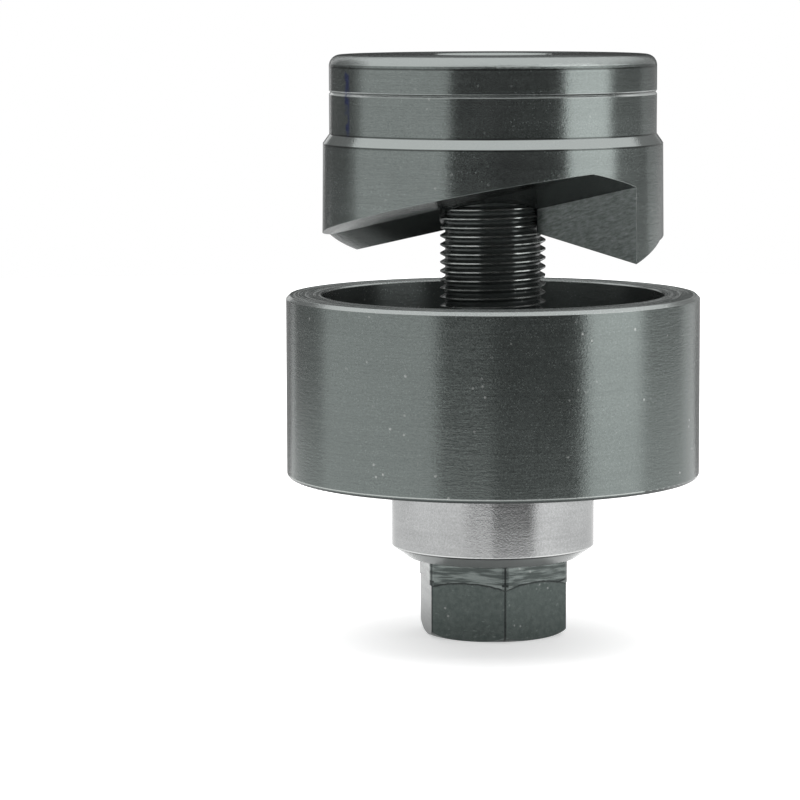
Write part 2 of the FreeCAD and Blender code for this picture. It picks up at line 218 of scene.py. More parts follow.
SATIN = {
    "dark": (0.24, 0.244, 0.244, 1.0), "light": (0.355, 0.36, 0.36, 1.0),
    "along": 60.0, "across": 1500.0, "lines": 0.3, "clouds": 0.3, "grain": 0.55, "grain_scale": 3200.0,
    "nicks": 0.2, "nick_scale": 800.0, "edges": 0.5, "edge_radius": 0.0002,
    "metal": 1.0, "roughness": 0.17, "comb": 0.0, "relief": 1.0, "stretch": 0.3,
}

# Bearing steels: dark and light tone, and roughness with its spread.
BEARING_SPREAD = (0.8, 1.2)
RACE_STEEL = ((0.42, 0.43, 0.44, 1), (0.5, 0.51, 0.52, 1), 0.25)
BALL_STEEL = ((0.7, 0.71, 0.72, 1), (0.75, 0.76, 0.77, 1), 0.12)
CAGE_STEEL = ((0.38, 0.38, 0.37, 1), (0.45, 0.45, 0.44, 1), 0.4)

# Every turned steel: the noise from dark tone to light, broad lines as shares of the fine ones, clouds.
TONE_SPAN = (0.34, 0.66)
BROAD_ALONG = 0.6
BROAD_ACROSS = 0.25
FINE_WEIGHT = 0.6
BROAD_WEIGHT = 0.4
CLOUD_SCALE = 70.0

# Nicks of every turned steel: their colour, their size in a cell, and the patches in which they lie.
NICK_COLOUR = (0.6, 0.62, 0.6, 1.0)
NICK_SIZE = (0.06, 0.2)
PATCH_SCALE = 190.0
PATCH_SPAN = (0.55, 0.62)

# Edges and shine of every turned steel: how far an edge turns, spread of roughness, marks of the lathe.
EDGE_TURN = (0.88, 0.995)
ROUGHNESS_SPREAD = (0.85, 1.15)
COMB_LINES = (420.0, 2600.0)
RELIEF_DEPTH = 0.00004
SPECULAR_TINT = (0.68, 0.68, 0.68, 1.0)
QUARTER_TURN = 0.25

# Colours of the marks on each piece; edges are painted lighter, partly as wear and partly as a
# highlight.
PUNCH_MARKS = {
    # Painted highlight on the upward slopes of the crown and shoulder.
    "rubbed": (0.41, 0.442, 0.431, 1.0),
    # The scribed line's painted highlight, dim at the front and bright at the sides.
    "scribed_front": (0.24, 0.26, 0.254, 1.0),
    "scribed_sides": (0.6, 0.63, 0.62, 1.0),
    # Thin dark lines under the crown and at the shoulder.
    "dirt": (0.012, 0.014, 0.013, 1.0),
    "split_dark": (0.13, 0.148, 0.142, 1.0),
    "split_light": (0.275, 0.304, 0.295, 1.0),
    # Painted shade on the punch's underside, lighter at the left and darker at the right.
    "underside_shade_left": (0.095, 0.108, 0.104, 1.0),
    "underside_shade_right": (0.045, 0.052, 0.05, 1.0),
    # A painted reflection on the ledge along the wall's foot, on the left only.
    "ledge": (0.4, 0.437, 0.425, 1.0),
    # Painted shade inside the punch's bore.
    "bore": (0.06, 0.068, 0.066, 1.0),
    "ink": (0.03, 0.045, 0.19, 1.0),
    "edges": (0.4, 0.42, 0.41, 1.0),
}
DIE_MARKS = {
    # Painted shade on the die's flat faces and on its faces below.
    "dull": (0.04, 0.045, 0.044, 1.0),
    # Painted shade inside the cup.
    "soot": (0.1, 0.111, 0.108, 1.0),
    "rings": (0.42, 0.44, 0.433, 1.0),
    # Painted highlight on the rim's upward sloping chamfers.
    "lip": (0.45, 0.48, 0.47, 1.0),
    # Painted highlight on the rounding at the die's foot.
    "foot": (0.36, 0.38, 0.37, 1.0),
    "edges": (0.45, 0.47, 0.45, 1.0),
}
STUD_MARKS = {
    # Crests worn bare and painted lighter as highlights.
    "crests": (0.4, 0.42, 0.41, 1.0),
    "flats_dark": (0.055, 0.068, 0.064, 1.0),
    "flats_light": (0.078, 0.092, 0.087, 1.0),
    "scratches": (0.17, 0.19, 0.18, 1.0),
    "turned_dark": (0.055, 0.065, 0.062, 1.0),
    "turned_light": (0.15, 0.17, 0.163, 1.0),
    # Dark lines at the head's corners and along the cutter's edge above each flat.
    "burr": (0.012, 0.014, 0.014, 1.0),
    # Painted shade in the stud's corners and thread roots.
    "grime": (0.042, 0.047, 0.047, 1.0),
    "edges": (0.2, 0.215, 0.21, 1.0),
}
BAND_MARKS = {
    "cone": (0.36, 0.38, 0.373, 1.0),
    # Painted highlight just above the band's edge.
    "bright": (0.52, 0.53, 0.525, 1.0),
    # Painted shade just below the band's edge.
    "grimy": (0.05, 0.053, 0.052, 1.0),
    # Edges painted very light, mostly as a highlight.
    "edges": (0.8, 0.81, 0.8, 1.0),
}

# Roughness that worked faces of the punch gain, and shares of the metal that faces lose.
PUNCH_DULLER = {"split": 0.2, "below": -0.1, "rubbed": -0.13}
PUNCH_MATT = {"bevel": 0.45, "ledge": 0.4, "bore": 0.4, "scribed": 0.6}
RIM_MATT = 0.7
CONE_MATT = 0.6

# How much painted shade the die's flat faces get.
DIE_LEVEL_SHADE = 0.4


class Graph:
    """Builds a material's or the world's nodes."""

    def __init__(self, tree):
        self.tree = tree
        tree.nodes.clear()

    def add(self, kind, settings=None, **inputs):
        """A node with its settings, and values or sockets for its inputs by name or _index."""
        node = self.tree.nodes.new(kind)
        for key, value in (settings or {}).items():
            setattr(node, key, value)
        for key, value in inputs.items():
            index = int(key[1:]) if key.startswith("_") else key.replace("_", " ")
            if isinstance(value, bpy.types.NodeSocket):
                self.tree.links.new(value, node.inputs[index])
            else:
                node.inputs[index].default_value = value
        return node

    def math(self, operation, first, second=0.0, third=0.0):
        """One arithmetic step."""
        node = self.add("ShaderNodeMath", {"operation": operation}, _0=first, _1=second, _2=third)
        return node.outputs[0]

    def times(self, first, second):
        """The product of two values."""
        return self.math("MULTIPLY", first, second)

    def add_share(self, value, share, rest):
        """The rest with a share of a value added to it."""
        return self.math("MULTIPLY_ADD", value, share, rest)

    def larger(self, first, second):
        """The larger of two values."""
        return self.math("MAXIMUM", first, second)

    def remainder(self, share):
        """What a share leaves of 1."""
        return self.math("SUBTRACT", 1.0, share)

    def vector(self, operation, first, second=(0.0, 0.0, 0.0)):
        """One step on vectors."""
        return self.add("ShaderNodeVectorMath", {"operation": operation}, _0=first, _1=second)

    def blend_colour(self, share, first, second):
        """A mix of two colours."""
        mix = self.add("ShaderNodeMix", {"data_type": "RGBA"}, _0=share, _6=first, _7=second)
        return mix.outputs[2]

    def step(self, value, low, high, to_low=0.0, to_high=1.0):
        """A value moved from one span to another and held inside it."""
        settings = {"clamp": True, "interpolation_type": "SMOOTHSTEP"}
        node = self.add("ShaderNodeMapRange", settings, _0=value, _1=low, _2=high, _3=to_low,
                        _4=to_high)
        return node.outputs[0]

    def fall(self, value, low, high, strength=1.0):
        """A strength that fades to nothing while a value goes through a span."""
        return self.step(value, low, high, strength, 0.0)

    def between(self, value, first, last):
        """1 between two spans, and nothing outside them."""
        return self.times(self.step(value, *first), self.fall(value, *last))

    def line(self, value, middle, core, edge, strength=1.0):
        """A strength where a value is within core of the middle, and nothing beyond edge."""
        away = self.math("ABSOLUTE", self.math("SUBTRACT", value, middle))
        return self.fall(away, core, edge, strength)

    def noise(self, vector, scale, detail=3.0, roughness=0.5):
        """Smooth noise between 0 and 1."""
        node = self.add("ShaderNodeTexNoise", None, Vector=vector, Scale=scale, Detail=detail,
                        Roughness=roughness)
        return node.outputs[0]


def new_material(name):
    """An empty node material and its graph."""
    material = bpy.data.materials.new(name)
    material.use_nodes = True
    return material, Graph(material.node_tree)


def finish_material(graph, shader):
    """Connect a shader to the material's output."""
    graph.add("ShaderNodeOutputMaterial", None, Surface=shader)


class Lathe:
    """Texture space and masks of a piece turned about Z, from its own coordinates."""

    def __init__(self, graph):
        self.graph = graph
        source = graph.add("ShaderNodeTexCoord")
        self.place = source.outputs["Object"]
        facing = source.outputs["Normal"]
        place = graph.add("ShaderNodeSeparateXYZ", None, _0=self.place)
        normal = graph.add("ShaderNodeSeparateXYZ", None, _0=facing)
        flat = graph.add("ShaderNodeCombineXYZ", None, _0=place.outputs[0], _1=place.outputs[1])
        self.flat = flat.outputs[0]
        self.across = place.outputs[0]
        self.deep = place.outputs[1]
        self.height = place.outputs[2]
        self.radius = graph.vector("LENGTH", self.flat).outputs["Value"]
        self.facing_up = graph.math("ABSOLUTE", normal.outputs[2])
        self.down = graph.times(normal.outputs[2], -1.0)
        self.plane_offset = graph.vector("DOT_PRODUCT", self.place, facing).outputs["Value"]
        outward = graph.vector("DOT_PRODUCT", self.flat, facing).outputs["Value"]
        self.inward = graph.times(graph.math("DIVIDE", outward, self.radius), -1.0)

    def streaks(self, along, across):
        """Noise drawn out into lines round the axis, across given in lines a metre."""
        graph = self.graph
        wall = graph.times(self.height, graph.remainder(self.facing_up))
        face = graph.times(self.radius, self.facing_up)
        profile = graph.times(graph.math("ADD", wall, face), across)
        slow = graph.add("ShaderNodeVectorMath", {"operation": "SCALE"}, _0=self.flat, Scale=along)
        spread = graph.add("ShaderNodeCombineXYZ", None, _2=profile)
        place = graph.vector("ADD", slow.outputs[0], spread.outputs[0]).outputs[0]
        return graph.noise(place, scale=1.0, detail=2.0, roughness=0.65)


class Steel:
    """A turned steel in the making: its nodes, its lathe space, its tone, and its colour so far."""

    def __init__(self, name, finish):
        self.material, self.graph = new_material(name)
        self.lathe = Lathe(self.graph)
        self.finish = finish
        self.tone = self.mix_tone()
        share = self.graph.step(self.tone, *TONE_SPAN)
        self.colour = self.graph.blend_colour(share, finish["dark"], finish["light"])

    def mix_tone(self):
        """Fine and broad lines, clouds and grain in the finish's shares."""
        graph, lathe, finish = self.graph, self.lathe, self.finish
        fine = lathe.streaks(finish["along"], finish["across"])
        broad = lathe.streaks(finish["along"] * BROAD_ALONG, finish["across"] * BROAD_ACROSS)
        cloud = graph.noise(lathe.place, CLOUD_SCALE, detail=4.0, roughness=0.6)
        grain = graph.noise(lathe.place, finish["grain_scale"], detail=2.0, roughness=0.7)
        lines = graph.math("ADD", graph.times(fine, FINE_WEIGHT), graph.times(broad, BROAD_WEIGHT))
        tone = graph.times(lines, finish["lines"])
        tone = graph.add_share(cloud, finish["clouds"], tone)
        tone = graph.add_share(grain, finish["grain"], tone)
        return graph.math("DIVIDE", tone, finish["lines"] + finish["clouds"] + finish["grain"])

    def paint(self, share, colour):
        """Lay a colour over the steel by a mask."""
        self.colour = self.graph.blend_colour(share, self.colour, colour)

    def scatter_nicks(self):
        """Small pale nicks that lie in patches. Returns their mask."""
        graph, place = self.graph, self.lathe.place
        scale = self.finish["nick_scale"]
        cells = graph.add("ShaderNodeTexVoronoi", {"feature": "F1"}, Vector=place, Scale=scale)
        nick = graph.fall(cells.outputs["Distance"], *NICK_SIZE)
        patches = graph.step(graph.noise(place, PATCH_SCALE), *PATCH_SPAN, to_high=self.finish["nicks"])
        nick = graph.times(nick, patches)
        self.paint(nick, NICK_COLOUR)
        return nick

    def paint_edge_wear_and_highlights(self, colour):
        """Edges painted lighter, partly rubbed bare and partly a painted highlight. Returns the rounded
        normal.
        """
        graph, finish = self.graph, self.finish
        rounded = graph.add("ShaderNodeBevel", {"samples": 4}, Radius=finish["edge_radius"]).outputs[0]
        normal = graph.add("ShaderNodeNewGeometry").outputs["Normal"]
        turn = graph.vector("DOT_PRODUCT", rounded, normal).outputs["Value"]
        self.paint(graph.fall(turn, *EDGE_TURN, strength=finish["edges"]), colour)
        return rounded

    def complete(self, edge_colour, duller=0.0, matt=0.0):
        """Nicks, edges painted lighter as wear and highlight, turning marks and the stretched shine.
        Returns the material.
        """
        graph, finish = self.graph, self.finish
        matt = graph.larger(self.scatter_nicks(), matt)
        metal = graph.times(graph.remainder(matt), finish["metal"])
        rounded = self.paint_edge_wear_and_highlights(edge_colour)
        smoothest, roughest = (finish["roughness"] * spread for spread in ROUGHNESS_SPREAD)
        rough = graph.step(self.tone, *TONE_SPAN, to_low=smoothest, to_high=roughest)
        rough = graph.math("ADD", rough, duller)
        height = self.tone
        if finish["comb"]:
            height = graph.add_share(self.lathe.streaks(*COMB_LINES), finish["comb"], height)
        bump = graph.add("ShaderNodeBump", None, Strength=finish["relief"], Distance=RELIEF_DEPTH,
                         Height=height, Normal=rounded)
        tangent = graph.add("ShaderNodeTangent", {"direction_type": "RADIAL", "axis": "Z"})
        shader = graph.add("ShaderNodeBsdfPrincipled", None, Base_Color=self.colour, Metallic=metal,
                           Specular_Tint=SPECULAR_TINT, Roughness=rough, Anisotropic=finish["stretch"],
                           Anisotropic_Rotation=QUARTER_TURN, Tangent=tangent.outputs[0],
                           Normal=bump.outputs[0])
        finish_material(graph, shader.outputs[0])
        return self.material


def punch_steel():
    """Black oxide over turned steel, with painted highlights on the crown and shoulder, ground on the
    split faces.
    """
    steel = Steel("punch_black_oxide", PUNCH_OXIDE)
    graph, lathe = steel.graph, steel.lathe
    # A painted highlight on the crown and shoulder.
    rubbed = paint_slope_highlight(steel)
    # The scribed line, with a painted highlight that is brightest at the sides.
    scribed = scribe_line(steel)
    for dirty in DARK_LINE_HEIGHTS:
        dirt = graph.line(lathe.height, dirty, *DARK_LINE_WIDTH, strength=0.6)
        steel.paint(dirt, PUNCH_MARKS["dirt"])
    split = grind_split_faces(steel)
    below = graph.step(lathe.down, *PUNCH_BELOW)
    ledge = graph.step(lathe.down, *PUNCH_LEDGE)
    # A painted reflection on the ledge, ending towards the right.
    ledge_reflection = graph.times(ledge, graph.fall(lathe.across, *LEDGE_END))
    # Painted shade on the faces below, darker towards the right.
    underside_shade = graph.blend_colour(graph.step(lathe.across, *UNDERSIDE_SPAN), PUNCH_MARKS["underside_shade_left"],
                                   PUNCH_MARKS["underside_shade_right"])
    steel.paint(below, underside_shade)
    steel.paint(ledge_reflection, PUNCH_MARKS["ledge"])
    # Painted shade inside the bore and on its thread.
    bore = graph.fall(lathe.radius, *PUNCH_BORE_EDGE)
    steel.paint(bore, PUNCH_MARKS["bore"])
    smear_ink(steel)
    duller = graph.add_share(below, PUNCH_DULLER["below"], graph.times(split, PUNCH_DULLER["split"]))
    duller = graph.add_share(rubbed, PUNCH_DULLER["rubbed"], duller)
    bevel = graph.math("SUBTRACT", below, ledge)
    matt = graph.add_share(bevel, PUNCH_MATT["bevel"], graph.times(ledge_reflection, PUNCH_MATT["ledge"]))
    matt = graph.larger(matt, graph.times(bore, PUNCH_MATT["bore"]))
    matt = graph.larger(matt, graph.times(scribed, PUNCH_MATT["scribed"]))
    return steel.complete(PUNCH_MARKS["edges"], duller, matt)


def paint_slope_highlight(steel):
    """A painted highlight on the punch's upward sloping faces, and a little on its flat top. Returns
    its mask.
    """
    graph, lathe = steel.graph, steel.lathe
    tilted = graph.step(lathe.facing_up, *PUNCH_TILTED)
    less_on_top = graph.step(lathe.down, *PUNCH_TOP, to_low=0.15)
    upward = graph.fall(lathe.down, *UPWARD_END)
    rubbed = graph.times(graph.times(tilted, less_on_top), upward)
    steel.paint(rubbed, PUNCH_MARKS["rubbed"])
    return rubbed


def scribe_line(steel):
    """The line scribed round the punch, painted lighter as a highlight, most at the sides. Returns the
    mask of its brightest part at the sides.
    """
    graph, lathe = steel.graph, steel.lathe
    scribed = graph.line(lathe.height, SCRIBED_HEIGHT, *SCRIBED_WIDTH)
    aside = graph.math("DIVIDE", graph.math("ABSOLUTE", lathe.across), lathe.radius)
    aside = graph.step(aside, *SCRIBED_ASIDE)
    shade = graph.blend_colour(aside, PUNCH_MARKS["scribed_front"], PUNCH_MARKS["scribed_sides"])
    steel.paint(scribed, shade)
    return graph.times(scribed, aside)


def grind_split_faces(steel):
    """Slanting scratches on the two upright planes that pass through the axis. Returns their mask."""
    graph, lathe = steel.graph, steel.lathe
    through_axis = graph.line(lathe.plane_offset, 0.0, *SPLIT_OFFSET)
    upright = graph.fall(lathe.facing_up, *PUNCH_UPRIGHT)
    split = graph.times(through_axis, upright)
    slanted = graph.add("ShaderNodeMapping", {"vector_type": "TEXTURE"}, Vector=lathe.place,
                        Rotation=SPLIT_SCRATCH_TURN, Scale=SPLIT_SCRATCH_SIZE)
    scratch = graph.noise(slanted.outputs[0], scale=1.0, detail=4.0, roughness=0.75)
    scratch = graph.step(scratch, 0.3, 0.7)
    shade = graph.blend_colour(scratch, PUNCH_MARKS["split_dark"], PUNCH_MARKS["split_light"])
    steel.paint(split, shade)
    return split


def smear_ink(steel):
    """Broken blue ink down the punch's wall."""
    graph, lathe = steel.graph, steel.lathe
    spot = graph.vector("DISTANCE", lathe.flat, INK_PLACE).outputs["Value"]
    near = graph.fall(spot, *INK_REACH, strength=0.75)
    broken = graph.step(graph.noise(lathe.place, scale=420.0), 0.42, 0.56)
    ink = graph.times(near, broken)
    ink = graph.times(ink, graph.between(lathe.height, INK_LOW, INK_HIGH))
    steel.paint(ink, PUNCH_MARKS["ink"])


def die_steel():
    """Black oxide over turned steel: a ringed rim, painted highlights on its chamfers and foot, painted
    shade inside the cup.
    """
    steel = Steel("die_black_oxide", DIE_OXIDE)
    graph, lathe = steel.graph, steel.lathe
    # Painted shade on the faces inside the cup.
    soot = graph.step(lathe.inward, *DIE_INSIDE, to_high=0.45)
    level = graph.step(lathe.facing_up, *DIE_LEVEL)
    under = graph.step(lathe.down, *DIE_UNDER, to_high=0.85)
    # Painted shade on the flat faces and on the faces under the die.
    steel.paint(graph.larger(graph.times(level, DIE_LEVEL_SHADE), under), DIE_MARKS["dull"])
    steel.paint(soot, DIE_MARKS["soot"])
    rings = graph.step(lathe.streaks(along=40.0, across=3600.0), 0.5, 0.55, to_high=0.8)
    rim = graph.times(level, graph.step(lathe.radius, *RINGED_RIM))
    steel.paint(graph.times(rim, rings), DIE_MARKS["rings"])
    # A painted highlight on the chamfers that face up.
    sloping = graph.between(lathe.facing_up, *DIE_LIP)
    lip = graph.times(sloping, graph.fall(lathe.down, *UPWARD_END))
    steel.paint(lip, DIE_MARKS["lip"])
    # A painted highlight on the rounding at the foot.
    steel.paint(graph.between(lathe.down, *DIE_FOOT), DIE_MARKS["foot"])
    matt = graph.larger(graph.times(rim, RIM_MATT), soot)
    return steel.complete(DIE_MARKS["edges"], 0.0, matt)


def stud_steel():
    """Oiled black steel: crests worn and painted with highlights, mottled milled flats, painted shade
    in the corners.
    """
    steel = Steel("stud_oiled_black", OILED)
    graph, lathe = steel.graph, steel.lathe
    rub_crests(steel)
    flat = graph.step(lathe.plane_offset, *FLAT_INNER)
    milled = graph.times(flat, graph.fall(lathe.plane_offset, *FLAT_OUTER))
    steel.paint(milled, mottled_flats(steel))
    head = graph.fall(lathe.height, *HEAD_TOP)
    forged = graph.step(lathe.streaks(along=160.0, across=1500.0), 0.4, 0.6)
    turned = graph.blend_colour(forged, STUD_MARKS["turned_dark"], STUD_MARKS["turned_light"])
    steel.paint(graph.times(head, graph.remainder(milled)), turned)
    # Dark lines at the corners and along the cutter's edge.
    corners = graph.times(hexagon_corners(steel), head)
    burr = graph.larger(corners, graph.times(milled_edge(steel), flat))
    steel.paint(burr, STUD_MARKS["burr"])
    # Painted shade where the stud's own corners close in.
    occlusion = {"samples": 6, "only_local": True}
    open_air = graph.add("ShaderNodeAmbientOcclusion", occlusion, Distance=SHADE_REACH).outputs["AO"]
    steel.paint(graph.fall(open_air, *SHADE_SPAN, strength=0.7), STUD_MARKS["grime"])
    groove = graph.fall(lathe.radius, *GROOVE_RADII, strength=0.6)
    groove = graph.times(groove, graph.step(lathe.height, *SHANK_START))
    return steel.complete(STUD_MARKS["edges"], 0.0, groove)


def rub_crests(steel):
    """The thread's crests lighter in patches, worn bare and painted as highlights, fading in painted
    shade near the punch.
    """
    graph, lathe = steel.graph, steel.lathe
    crest = graph.step(lathe.radius, *CREST_RADII)
    out_of_punch_shade = graph.step(lathe.height, *SHANK_START)
    # Painted shade from the punch fades the crests near it.
    out_of_punch_shade = graph.times(out_of_punch_shade, graph.step(lathe.height, *PUNCH_SHADE_HEIGHTS, to_low=1.0, to_high=0.3))
    worn = graph.step(graph.noise(lathe.place, scale=260.0), 0.35, 0.65, to_low=0.4)
    steel.paint(graph.times(graph.times(crest, out_of_punch_shade), worn), STUD_MARKS["crests"])


def mottled_flats(steel):
    """Colour of the milled flats: mottled, with long slanting scratches."""
    graph, lathe = steel.graph, steel.lathe
    mottle = graph.noise(lathe.place, scale=1100.0, detail=4.0, roughness=0.7)
    mottle = graph.step(mottle, 0.3, 0.7)
    flats = graph.blend_colour(mottle, STUD_MARKS["flats_dark"], STUD_MARKS["flats_light"])
    slanted = graph.add("ShaderNodeMapping", {"vector_type": "POINT"}, Vector=lathe.place,
                        Rotation=FLAT_SCRATCH_TURN, Scale=FLAT_SCRATCH_LINES)
    scratch = graph.noise(slanted.outputs[0], scale=1.0, detail=3.0, roughness=0.6)
    scratch = graph.step(scratch, 0.62, 0.72, to_high=0.5)
    return graph.blend_colour(scratch, flats, STUD_MARKS["scratches"])


def hexagon_corners(steel):
    """Mask of the six dark corners of the head."""
    graph, lathe = steel.graph, steel.lathe
    azimuth = graph.math("ARCTAN2", lathe.across, graph.times(lathe.deep, -1.0))
    from_corner = graph.math("SUBTRACT", azimuth, HEXAGON_TURN)
    wave = graph.math("SINE", graph.times(from_corner, HEXAGON_SIDES / 2))
    return graph.line(wave, 0.0, *CORNER_LINE, strength=0.85)


def milled_edge(steel):
    """Mask of a dark line along the round edge that the cutter left above each milled flat."""
    graph, lathe = steel.graph, steel.lathe
    across = graph.math("POWER", lathe.plane_offset, 2.0)
    sideways = graph.math("SUBTRACT", graph.math("POWER", lathe.radius, 2.0), across)
    above = graph.math("SUBTRACT", lathe.height, CUTTER_CENTRE)
    reach = graph.math("SQRT", graph.add_share(above, above, sideways))
    reach = graph.add_share(graph.noise(lathe.place, scale=700.0), CUTTER_WAVER, reach)
    return graph.line(reach, CUTTER_RADIUS + CUTTER_LINE, *CUTTER_WIDTH, strength=0.9)


def band_steel():
    """Satin rolled band of the bearing with a fine sparkling grain, edges painted lighter, and painted
    highlight and shade at its edge.
    """
    steel = Steel("band_satin", SATIN)
    graph, lathe = steel.graph, steel.lathe
    cone = graph.step(lathe.down, *BAND_CONE)
    steel.paint(cone, BAND_MARKS["cone"])
    above = graph.math("SUBTRACT", lathe.height, BAND_EDGE)
    # A painted highlight on the wall just above the edge, and painted shade on the cone just below.
    steel.paint(graph.between(above, BAND_TURN, HIGHLIGHT_END), BAND_MARKS["bright"])
    steel.paint(graph.between(above, SHADE_LINE_START, BAND_TURN), BAND_MARKS["grimy"])
    return steel.complete(BAND_MARKS["edges"], 0.0, graph.times(cone, CONE_MATT))


def bearing_steel(name, dark, light, roughness):
    """Bright bearing steel with a faint ground grain."""
    material, graph = new_material(name)
    streak = graph.step(Lathe(graph).streaks(along=30.0, across=1800.0), 0.3, 0.7)
    shade = graph.blend_colour(streak, dark, light)
    smoothest, roughest = (roughness * spread for spread in BEARING_SPREAD)
    rough = graph.step(streak, 0.0, 1.0, to_low=smoothest, to_high=roughest)
    shader = graph.add("ShaderNodeBsdfPrincipled", None, Base_Color=shade, Metallic=1.0,
                       Roughness=rough)
    finish_material(graph, shader.outputs[0])
    return material


def background_ray(graph):
    """1 for the rays that show the white background: seen, mirrored or passed through."""
    path = graph.add("ShaderNodeLightPath")
    seen = graph.larger(path.outputs["Is Camera Ray"], path.outputs["Is Transmission Ray"])
    return graph.larger(seen, path.outputs["Is Glossy Ray"])


def white_floor():
    """Pale floor that stays white to the camera and keeps the tool's shadow."""
    material, graph = new_material("white_floor")
    paint = graph.add("ShaderNodeBsdfDiffuse", None, Color=FLOOR_PAINT)
    lift = graph.times(background_ray(graph), FLOOR_LIFT)
    glow = graph.add("ShaderNodeEmission", None, Strength=lift)
    both = graph.add("ShaderNodeAddShader", None, _0=paint.outputs[0], _1=glow.outputs[0])
    finish_material(graph, both.outputs[0])
    return material


def card_paint(tone):
    """Even tone of a studio card."""
    material, graph = new_material("studio_card")
    glow = graph.add("ShaderNodeEmission", None, Color=(tone, tone, tone, 1.0), Strength=1.0)
    finish_material(graph, glow.outputs[0])
    return material


def new_piece(name, mesh, material):
    """An object of one material made from a mesh under construction, which is freed."""
    data = bpy.data.meshes.new(name)
    mesh.to_mesh(data)
    mesh.free()
    data.materials.append(material)
    piece = bpy.data.objects.new(name, data)
    bpy.context.collection.objects.link(piece)
    return piece


def make_card(name, tone, corners):
    """A card swept round the tool through corners of radius, height and two azimuths."""
    mesh = bmesh.new()
    rows = []
    for radius, height, first, last in corners:
        row = []
        for step in range(CARD_STEPS + 1):
            side = math.radians(first + (last - first) * step / CARD_STEPS)
            row.append(mesh.verts.new((radius * math.sin(side), -radius * math.cos(side), height)))
        rows.append(row)
    for lower, upper in zip(rows, rows[1:]):
        for step in range(CARD_STEPS):
            mesh.faces.new((lower[step], lower[step + 1], upper[step + 1], upper[step]))
    card = new_piece(name, mesh, card_paint(tone))
    card.visible_camera = False
    card.visible_diffuse = False
    card.visible_shadow = False


def smooth_by_angle(piece, degrees):
    """Smooth shading with creases kept at sharper edges."""
    data = piece.data
    data.polygons.foreach_set("use_smooth", [True] * len(data.polygons))
    mesh = bmesh.new()
    mesh.from_mesh(data)
    limit = math.radians(degrees)
    for edge in mesh.edges:
        edge.smooth = len(edge.link_faces) != 2 or edge.calc_face_angle() < limit
    mesh.to_mesh(data)
    mesh.free()


def turned_point(radius, angle, height):
    """The point at a radius, an angle round Z and a height."""
    return (radius * math.cos(angle), radius * math.sin(angle), height)


def thread_mesh(low, high):
    """A closed threaded rod: one column of points for each direction, joined one turn on.

    A spare turn at each end is pressed flat there.
    """
    turns = math.ceil((high - low) / THREAD_PITCH) + 2
    mesh = bmesh.new()
    columns = []
    for side in range(THREAD_SIDES):
        angle = 2.0 * math.pi * side / THREAD_SIDES
        column = []
        for turn in range(turns + 1):
            for share, height in THREAD_OUTLINE:
                z = low + THREAD_PITCH * (turn - 1 + share + side / THREAD_SIDES)
                fade = min(max((z - low) / (THREAD_RUNOUT * THREAD_PITCH), 0.0), 1.0)
                z = min(max(z, low), high)
                radius = THREAD_RADIUS - THREAD_DEPTH * (1.0 - height) * fade
                radius = min(radius, THREAD_RADIUS - THREAD_CHAMFER + (high - z))
                column.append(mesh.verts.new(turned_point(radius, angle, z)))
        columns.append(column)
    shift = len(THREAD_OUTLINE)
    for side, column in enumerate(columns):
        last = side == THREAD_SIDES - 1
        following = columns[0][shift:] if last else columns[side + 1]
        for lower in range(min(len(column), len(following)) - 1):
            mesh.faces.new((column[lower], following[lower], following[lower + 1], column[lower + 1]))
    bmesh.ops.remove_doubles(mesh, verts=mesh.verts, dist=SAME_POINT)
    bmesh.ops.dissolve_degenerate(mesh, dist=SHORT_EDGE, edges=mesh.edges)
    open_edges = [edge for edge in mesh.edges if edge.is_boundary]
    bmesh.ops.holes_fill(mesh, edges=open_edges, sides=0)
    bmesh.ops.recalc_face_normals(mesh, faces=mesh.faces)
    data = bpy.data.meshes.new("thread")
    mesh.to_mesh(data)
    mesh.free()
    return data


def make_threaded_stud(material):
    """The stud with its real thread, its head and plain shank taken from the solid."""
    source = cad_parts["draw_stud"]
    stud_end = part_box("draw_stud")[1][2]
    mesh = bmesh.new()
    mesh.from_mesh(source.data)
    bmesh.ops.remove_doubles(mesh, verts=mesh.verts, dist=SAME_POINT)
    everything = mesh.verts[:] + mesh.edges[:] + mesh.faces[:]
    cut = bmesh.ops.bisect_plane(mesh, geom=everything, plane_co=(0, 0, THREAD_START),
                                 plane_no=(0, 0, 1), clear_outer=True)
    rim = [item for item in cut["geom_cut"] if isinstance(item, bmesh.types.BMEdge)]
    bmesh.ops.holes_fill(mesh, edges=rim, sides=0)
    mesh.from_mesh(thread_mesh(THREAD_START, stud_end))
    stud = new_piece("threaded_stud", mesh, material)
    smooth_by_angle(stud, CREASE_DEGREES)
    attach(stud, "draw_stud")
    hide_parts("draw_stud")


